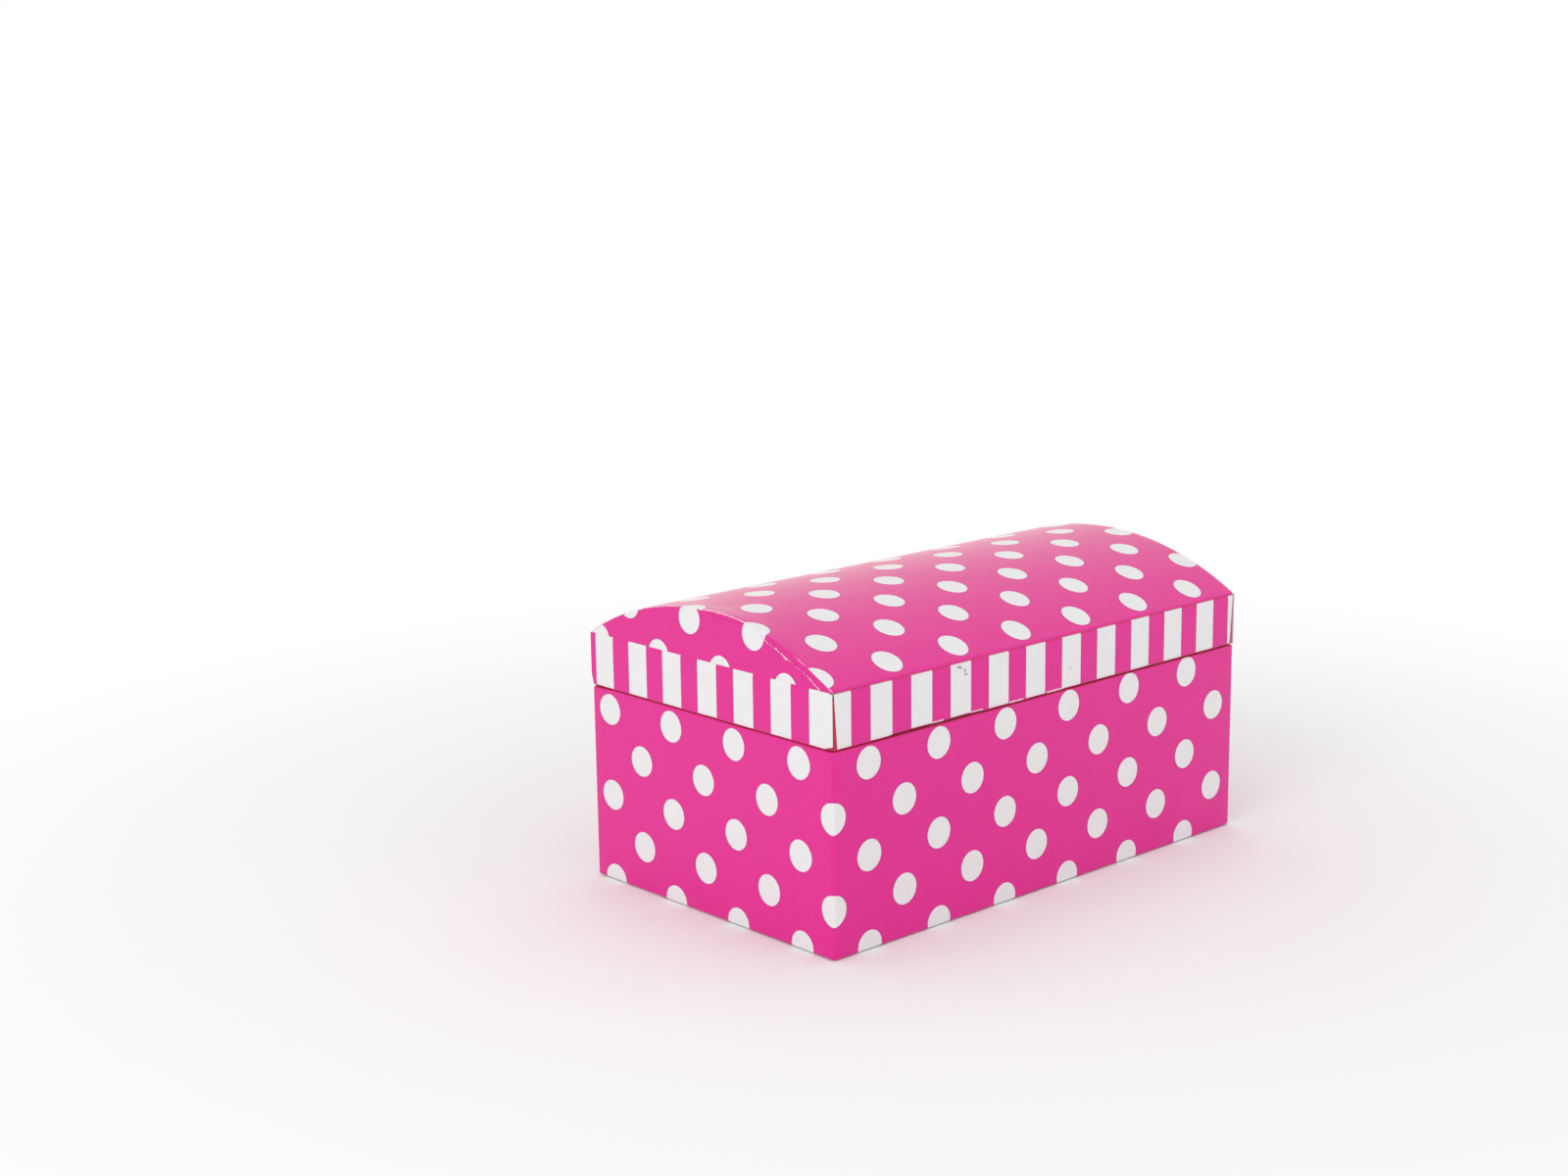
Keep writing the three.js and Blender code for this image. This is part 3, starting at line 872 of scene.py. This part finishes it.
def domeTree(finish):
    bench, arch = startTree("dome sheet", {"Arch": "Geometry", **dict.fromkeys(domeSizes, "Float")}, "Sheet")
    half, fold, cover, flapHalf, *more = [arch.sibling(size) for size in domeSizes]
    cutBelow, topLayer, bandFrom, bandDepth, rubAndHighlightReach, top, arcHalf, *more = more
    sheenPatchMiddle, sheenPatchFull, sheenPatchGone, sheenPatchInwards, *more = more
    endLift, liftMiddle, liftAlong, liftInwards, *more = more
    topFull, topGone, frontFull, frontGone, depthFull, depthGone, topRubAndHighlight, frontRubAndHighlight, *more = more
    bandShift, startU, startV, stretchU, stretchV, lean = more

    def keep(geometry, name, value, settings):
        sockets = {"Geometry": geometry, "Name": name, "Value": value}
        return bench.add("GeometryNodeStoreNamedAttribute", settings, sockets)

    def line(start, end, count):
        drawn = bench.add("GeometryNodeCurvePrimitiveLine", None, {"Start": start, "End": end})
        return bench.add("GeometryNodeResampleCurve", None, {"Curve": drawn, "Count": count})

    def arc(centre, start, sweep):
        turned = {"Resolution": 5, "Radius": fold, "Start Angle": start, "Sweep Angle": sweep}
        drawn = bench.add("GeometryNodeCurveArc", None, turned)
        return bench.add("GeometryNodeTransform", None, {"Geometry": drawn, "Translation": centre})

    flatEnd = half - fold
    section = [line(bench.vector(0 - flatEnd, 0.0, 0.0), bench.vector(flatEnd, 0.0, 0.0), 81)]
    for side in (-1.0, 1.0):
        foldX = flatEnd * side
        turned = [
            arc(bench.vector(foldX, fold, 0.0), -math.pi / 2, math.pi / 2 * side),
            line(bench.vector(half * side, fold, 0.0), bench.vector(half * side, cover, 0.0), 12),
        ]
        if side < 0:  # every part of the section runs the same way, so that all faces point outwards
            turned = [bench.add("GeometryNodeReverseCurve", None, {"Curve": part}) for part in turned]
        section += turned
    profile = bench.add("GeometryNodeJoinGeometry", None, {"Geometry": section})
    x, y, _ = bench.split(bench.add("GeometryNodeInputPosition"))
    onPoints = {"data_type": "FLOAT", "domain": "POINT"}
    profile = keep(profile, "depth", y, onPoints)
    profile = keep(profile, "across", x + y * x.sign(), onPoints)
    length = bench.add("GeometryNodeSplineParameter", None, None, "Length")
    upright = {"Curve": arch, "Normal": (1.0, 0.0, 0.0)}
    path = bench.add("GeometryNodeSetCurveNormal", {"mode": "FREE"}, upright)
    path = keep(path, "along", length - top, onPoints)
    sheet = bench.add("GeometryNodeCurveToMesh", None, {"Curve": path, "Profile Curve": profile})
    sheet = bench.add("GeometryNodeMergeByDistance", None, {"Geometry": sheet, "Distance": 0.00001})

    def kept(name):
        return bench.add("GeometryNodeInputNamedAttribute", {"data_type": "FLOAT"}, {"Name": name})

    along, across, depth = kept("along"), kept("across"), kept("depth")
    down = abs(along) - arcHalf
    flapEnds = (depth > topLayer) * (down > 0.0)  # only the top layer folds down the lip
    flapEnds = flapEnds.most((abs(across) > flapHalf) * (down > cutBelow))
    sheet = bench.add(
        "GeometryNodeDeleteGeometry", {"domain": "FACE"}, {"Geometry": sheet, "Selection": flapEnds})
    printU = (along / mm + startU) * stretchU
    band = (depth > bandDepth) * ((0 - along) > bandFrom) * ((0 - across) > 0.0)
    printV = (across / mm + startV + along / mm * lean) * stretchV - band * bandShift
    onCorners = {"data_type": "FLOAT2", "domain": "CORNER"}
    sheet = keep(sheet, "sheet", bench.vector(printU, printV, 0.0), onCorners)
    fromEdge = abs(abs(across) - half)
    onLeft = (0 - across) > 0.0
    onTop = depth.fade(depthFull, depthGone) * onLeft
    nearTop = along.fade(topFull, topGone) * onLeft
    nearFront = along.fade(frontFull, frontGone).most(1.0 - onLeft)
    # paler ends: rubbed paper and a painted highlight along the edge
    rubbedAndHighlit = fromEdge.fade(0.0, rubAndHighlightReach) * (nearFront * frontRubAndHighlight + nearTop * onTop * topRubAndHighlight)
    sheet = keep(sheet, "wear", rubbedAndHighlit, onPoints)
    # patch of painted sheen with scratches
    dull = abs(along + sheenPatchMiddle).fade(sheenPatchFull, sheenPatchGone) * fromEdge.fade(0.0, sheenPatchInwards) * onTop
    sheet = keep(sheet, "dull", dull, onPoints)
    swell = abs(along + liftMiddle).fade(0.0, liftAlong) * fromEdge.fade(0.0, liftInwards) * onLeft
    raised = {"Geometry": sheet, "Offset": bench.vector(0.0, 0.0, swell * endLift)}
    return endTree(bench, bench.add("GeometryNodeSetPosition", None, raised), finish)


def polyline(name, points):
    curve = bpy.data.curves.new(name, "CURVE")
    curve.dimensions = "3D"
    spline = curve.splines.new("POLY")
    spline.points.add(len(points) - 1)
    for spot, place in zip(spline.points, points):
        spot.co = (*(Vector(place) * mm), 1.0)
    return addObject(name, curve)


def grow(piece, tree, values):  # runs a tree on a piece and keeps the result as a plain mesh
    maker = piece.modifiers.new(tree.name, "NODES")
    maker.node_group = tree
    inputs = {item.name: item.identifier for item in tree.interface.items_tree if item.in_out == "INPUT"}
    for name, value in values.items():
        maker[inputs[name]] = value
    return settle(piece)


def makeDome(look):
    path = archPath(look)
    top = sum(math.dist(a, b) for a, b in zip(path, path[1:])) / 2
    arcHalf = domeRadius * archAngle - look["creaseFold"]
    sizes = [look[name] for name in ("halfLength", "edgeFold", "cover", "flapHalf", "cutBelow", "topLayer")]
    sizes += [look["bandFrom"], look["bandDepth"], look["rubAndHighlightReach"], top, arcHalf]
    sizes += [*look["dull"], *look["endLift"], *look["rubTop"], *look["rubAndHighlightFront"], *look["topDepth"]]
    sizes = [n * mm for n in sizes] + [*look["rubAndHighlightShares"], look["bandShift"]]
    sizes += [*look["dotStart"], *look["dotStretch"], look["dotLean"]]
    arch = polyline("lidDottedDome", [(0, y, z) for y, z in path])
    return thicken(grow(arch, domeTree(dottedPaper), dict(zip(domeSizes, sizes))), look["thickness"])


dome = makeDome(domeSheet)
print("dome sheet:", len(dome.data.polygons), "faces", [round(n / mm, 2) for n in dome.dimensions])


endPaper = {
    "thickness": 0.12,
    "inset": 0.21,  # under the strips
    "wrap": 1.1,  # past the corners, behind the slits
    "foot": 55.1,
    "drop": 0.3,  # its cut edge lies this far under the dome's edge
    "slackFrom": (3.0, -7.0),  # and falls away here, from the middle towards the front
    "slack": [  # by this much, from the front to the back
        (-48, 1.9), (-43.5, 1.9), (-38, 1.4), (-31, 1.55), (-27, 1.2), (-24, 1.2), (-21, 0.2), (-15, 0.2),
        (-11.5, 0.75), (-7, 1.3), (48, 1.3),
    ],
    "worn": [  # how strongly the left one's edge is worn, from the front to the back
        (-48, 1.1), (-40.5, 1.1), (-38, 0.5), (-34, 0.5), (-31.5, 1.3), (-26, 1.2), (-20, 0), (48, 0),
    ],
    "tornFrom": 24.0,  # nearer the front than this it is more torn
    "tear": 0.26,
    "tearLeast": 0.35,  # share of that elsewhere
    "tearLengths": (1.3, 0.45),  # of its slow and quick waves
    "wearReach": (0.15, 0.9),  # worn down to here from the cut edge, fading out there
    "wearLeast": 0.25,
    "wearWaves": (0.4, 1.3, 1.5),  # level, swing and length of the left one's uneven wear
    "paintedShadeCorner": (0.1, 0.5),  # painted shade behind the slits, from here past the flat to here
    "paintedShadeFoot": (1.5, 2.0),  # and painted shade behind the strips, up to here above the rim
    "rows": [0, 0.25, 0.6, 1.2, 2.4, 4, 7, 11, 18, 26, 28],  # uneven steps down the sheet
    "leftDot": (29.07, 79.9),
    "dotStretch": (dotLook["pitch"][0] / 25.0, dotLook["pitch"][1] / 24.0),
    "lean": (0.0487, 0.0085),  # the sheet was pasted askew
}


def archEdge(y, drop):
    radius = domeRadius - drop
    return domeCentre + math.sqrt(radius ** 2 - y ** 2)


def paperEdge(y, side, look):  # the torn top edge of an end paper
    tight, slack = look["slackFrom"]
    drop = look["drop"] + between(y, look["slack"]) * ease(-y, -tight, -slack)
    slow, quick = look["tearLengths"]
    torn = noise.noise(Vector((y / slow, 4.0, 0))) + 0.6 * noise.noise(Vector((y / quick, 9.0, 0)))
    fall = ease(-y, look["tornFrom"], flatLength(lidPlan, 1) / 2)
    edge = archEdge(y, drop + abs(torn) * look["tear"] * (look["tearLeast"] + fall))
    if side < 0:
        height, middle, reach, _ = domeSheet["endLift"]
        edge += height * (1 - ease(abs(y + middle), 0, reach))
    return edge


def makeEndPaper(name, side, look):
    wall = 1 if side > 0 else 3
    flat = flatLength(lidPlan, wall)
    reach = 2 * halfArc + look["wrap"]
    places = stretch(-reach, 0, 0.25) + stretch(0, flat, 0.4)[1:] + stretch(flat, flat + reach, 0.25)[1:]
    dotY, dotZ = look["leftDot"]
    level, swing, length = look["wearWaves"]
    rows = []
    for down in look["rows"]:
        row = []
        for along in places:
            y = (along - flat / 2) * side
            top = paperEdge(min(flat, max(-flat, 2 * y)) / 2, side, look)
            if abs(y) > flat / 2:
                top = min(top, creaseZ - 0.2)
            z = top - (top - look["foot"]) * down / look["rows"][-1]
            u = (y - nearY - dotY) * look["dotStretch"][0] + look["lean"][0] * (z - dotZ)
            v = (z - dotZ) * look["dotStretch"][1] - look["lean"][1] * y
            broken = (level + swing * noise.noise(Vector((y / length, 3.0, side)))) * between(y, look["worn"])
            wear = max(0, (1 - ease(top - z, *look["wearReach"])) * (look["wearLeast"] + broken * (side < 0)))
            # painted shade behind the slits and behind the strips
            behindSlit = ease(abs(y) - flat / 2, *look["paintedShadeCorner"])
            wear -= max(behindSlit, 1 - ease(z - lidRimZ, *look["paintedShadeFoot"]))
            row.append(((*wallSpot(lidPlan, wall, along, look["inset"]), z), (u, v), wear))
        rows.append(row)
    return sheetPiece(name, rows, dottedPaper, look["thickness"], 0)


leftPaper = makeEndPaper("lidLeftDottedPaper", -1, endPaper)
rightPaper = makeEndPaper("lidRightDottedPaper", 1, endPaper)


fray = {
    "flakes": 60,
    "size": (0.3, 0.11, 0.045),  # half sizes of one loose flake of paper, mm
    "grown": (0.25, 1.5),  # and how much smaller or larger one may be
    "missing": 0.35,  # share of the places with no flake
    "scatter": ((-0.04, -0.1, -0.25), (0.04, 0.1, 0.12)),
    "turn": ((-0.5, -3.1, -0.5), (0.5, 3.1, 0.5)),
    "run": (-44, -20),  # along the left end paper's edge
    "proud": 0.02,
    "seed": 7,
}


def frayTree(finish):
    inputs = {
        "Edge": "Geometry", "Flakes": "Int", "Size": "Vector", "Seed": "Int",
        "Smallest": "Float", "Largest": "Float", "Missing": "Float",
        "Scatter Low": "Vector", "Scatter High": "Vector", "Turn Low": "Vector", "Turn High": "Vector",
    }
    bench, edge = startTree("frayed edge", inputs, "Fray")
    _, flakes, size, seed, smallest, largest, missing, *more = [edge.sibling(name) for name in inputs]
    scatterLow, scatterHigh, turnLow, turnHigh = more
    points = bench.add("GeometryNodeCurveToPoints", None, {"Curve": edge, "Count": flakes})
    flake = bench.add("GeometryNodeMeshIcoSphere", None, {"Radius": 1.0, "Subdivisions": 1})

    def chance(low, high, turn, output=0, kind="FLOAT_VECTOR"):
        index = {0: low, 1: high} if kind == "FLOAT_VECTOR" else {2: low, 3: high}
        return bench.add("FunctionNodeRandomValue", {"data_type": kind}, {**index, 8: seed + turn}, output)

    scatter = chance(scatterLow, scatterHigh, 1.0)
    points = bench.add("GeometryNodeSetPosition", None, {"Geometry": points, "Offset": scatter})
    share = chance(smallest, largest, 2.0, 1, "FLOAT")
    grown = bench.add("ShaderNodeVectorMath", {"operation": "SCALE"}, {0: size, 3: share})
    turned = chance(turnLow, turnHigh, 3.0)
    spread = {"Points": points, "Instance": flake, "Rotation": turned, "Scale": grown}
    spread["Selection"] = chance(0.0, 1.0, 4.0, 1, "FLOAT") > missing
    return endTree(bench, bench.add("GeometryNodeInstanceOnPoints", None, spread), finish)


def makeFray(look):
    x = endPaper["inset"] - look["proud"] - lidPlan["halfX"]
    edge = [(x, y, paperEdge(y, -1, endPaper)) for y in stretch(*look["run"], 0.4)]
    size, scatterLow, scatterHigh = [[n * mm for n in spot] for spot in (look["size"], *look["scatter"])]
    return grow(polyline("lidLeftFray", edge), frayTree(barePaper), {
        "Flakes": look["flakes"], "Size": size, "Seed": look["seed"],
        "Smallest": look["grown"][0], "Largest": look["grown"][1], "Missing": look["missing"],
        "Scatter Low": scatterLow, "Scatter High": scatterHigh,
        "Turn Low": look["turn"][0], "Turn High": look["turn"][1],
    })


leftFray = makeFray(fray)
print("end papers made, with", len(leftFray.data.polygons), "faces of fray")


floorPad = {
    "edge": 0.35,
}


def makeFloorPad(look):
    low, high = boxMm("base_floor_pad")
    x, y = high.x, (high.y - low.y) / 2
    middle = (high.y + low.y) / 2
    rim = foldedLine([(x, low.z, 0), (x, high.z, look["edge"]), (x - 2, high.z, 0)], 1)
    mesh = bpy.data.meshes.new("baseFloorPad")
    corners, faces = [], []
    for across, z, _ in rim:
        drawn = across - x
        corners += [
            ((x + drawn) * sx * mm, (middle + (y + drawn) * sy) * mm, z * mm)
            for sx, sy in ((-1, -1), (1, -1), (1, 1), (-1, 1))
        ]
    for ring in range(len(rim) - 1):
        for side in range(4):
            a, b = ring * 4 + side, ring * 4 + (side + 1) % 4
            faces.append((a, b, b + 4, a + 4))
    last = len(corners) - 4
    faces.append((last, last + 1, last + 2, last + 3))
    faces.append((3, 2, 1, 0))
    mesh.from_pydata(corners, [], faces)
    mesh.materials.append(liningPaper)
    smooth(mesh)
    return addObject("baseFloorPad", mesh)


pad = makeFloorPad(floorPad)


# Which body each piece moves with, and which plain solids it stands for
def dress(piece, body, slot, *nodes):
    if nodes:
        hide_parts(*nodes)
    if body:
        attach(piece, body)


dress(baseSheet, "base", "dotted_paper", "base_dotted_wrap")
dress(pad, "base", "plain_paper", "base_floor_pad")
dress(dome, "lid", "dotted_paper", "lid_dotted_dome_wrap")
dress(leftPaper, "lid", "dotted_paper", "lid_left_dotted_paper")
dress(rightPaper, "lid", "dotted_paper", "lid_right_dotted_paper")
dress(leftFray, "lid", "dotted_paper")
dress(strips[0], "lid", "striped_paper", "lid_front_striped_strip")
dress(strips[1], "lid", "striped_paper", "lid_right_striped_strip")
dress(strips[3], "lid", "striped_paper", "lid_left_striped_strip")
dress(hingeSheet, None, "striped_paper", "hinge_strip_base_half", "hinge_strip_lid_half")
dress(liningStrip, None, "plain_paper", "hinge_lining_base_half", "hinge_lining_lid_half")
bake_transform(hingeSheet)
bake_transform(liningStrip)

slotFinishes = {"greyboard": greyboard, "gummed_tape": gummedTape, "plain_paper": liningPaper}
for part in frame["record"]["subparts"]:
    node = frame["nodes"][part["node"]]
    if not node.hide_render:
        node.material_slots[0].material = slotFinishes[part["material_slot"]]
print("pieces on their bodies")


# Studio: a pale floor, a white surround and soft lamps
studio = {
    "surround": 0.82,  # how strongly the white surround lights the chest
    "floor": "f3f2f2",
    "floorRadius": 6.0,
    "floorFade": (0.11, 0.38),  # metres from the chest where the floor melts into white
    "aim": (0, 0, 0.04),
    "lamps": {  # place, size, watts
        "leftLamp": ((-1.3, -0.35, 0.6), 0.9, 5.5),
        "frontLamp": ((0.3, -1.6, 0.5), 0.9, 2.4),
        "topLamp": ((0.3, 0.5, 1.6), 1.4, 2.5),
    },
}


def makeSurround(look):
    world = bpy.data.worlds.new("white surround")
    world.use_nodes = True
    world.node_tree.nodes.clear()
    bench = Bench(world.node_tree)
    ray = bench.add("ShaderNodeLightPath", None, None, "Is Camera Ray")
    seen = ray.most(ray.sibling("Is Glossy Ray")).most(ray.sibling("Is Transmission Ray"))
    strength = seen * (1 - look["surround"]) + look["surround"]
    white = bench.add("ShaderNodeBackground", None, {"Color": plainWhite, "Strength": strength})
    bench.add("ShaderNodeOutputWorld", None, {"Surface": white})
    bpy.context.scene.world = world


def makeFloor(look):
    finish, bench, where = startFinish("pale floor")
    x, y, _ = bench.split(where)
    near, far = look["floorFade"]
    melt = (x * x + y * y).root().fade(far, near)
    paint = bench.add("ShaderNodeBsdfDiffuse", None, {"Color": tint(look["floor"])})
    glow = bench.add("ShaderNodeEmission", None, {"Color": plainWhite, "Strength": 1.0})
    mixed = bench.add("ShaderNodeMixShader", None, {0: melt, 1: paint, 2: glow})
    bench.add("ShaderNodeOutputMaterial", None, {"Surface": mixed})
    mesh = bpy.data.meshes.new("floor")
    radius = look["floorRadius"]
    ring = [(radius * math.cos(a), radius * math.sin(a), 0) for a in stretch(0, 2 * math.pi, 0.1)[:-1]]
    mesh.from_pydata(ring, [], [tuple(range(len(ring)))])
    mesh.materials.append(finish)
    floor = addObject("floor", mesh)


def addLamp(name, place, size, watts):
    lamp = bpy.data.lights.new(name, "AREA")
    lamp.shape = "DISK"
    lamp.size = size
    lamp.energy = watts
    holder = addObject(name, lamp)
    holder.location = place
    aim = Vector(studio["aim"]) - Vector(place)
    holder.rotation_euler = aim.to_track_quat("-Z", "Y").to_euler()


makeSurround(studio)
makeFloor(studio)
for name, (place, size, watts) in studio["lamps"].items():
    addLamp(name, place, size, watts)


viewpoint = {  # fitted to the chest's edges and dots in the photograph
    "sensor": 36.0,
    "lens": 55.684,
    "place": (-0.4748, -0.4665, 0.22079),
    "look": (0.656564, 0.724039, -0.211401),
    "roll": -0.816,
}

cameraData = bpy.data.cameras.new("camera")
cameraData.sensor_width = viewpoint["sensor"]
cameraData.lens = viewpoint["lens"]
camera = addObject("camera", cameraData)
camera.location = viewpoint["place"]
camera.rotation_mode = "QUATERNION"
roll = Quaternion((0, 0, 1), math.radians(viewpoint["roll"]))
camera.rotation_quaternion = Vector(viewpoint["look"]).to_track_quat("-Z", "Y") @ roll
bpy.context.scene.camera = camera
bpy.context.scene.view_settings.view_transform = "Standard"
print("studio set")
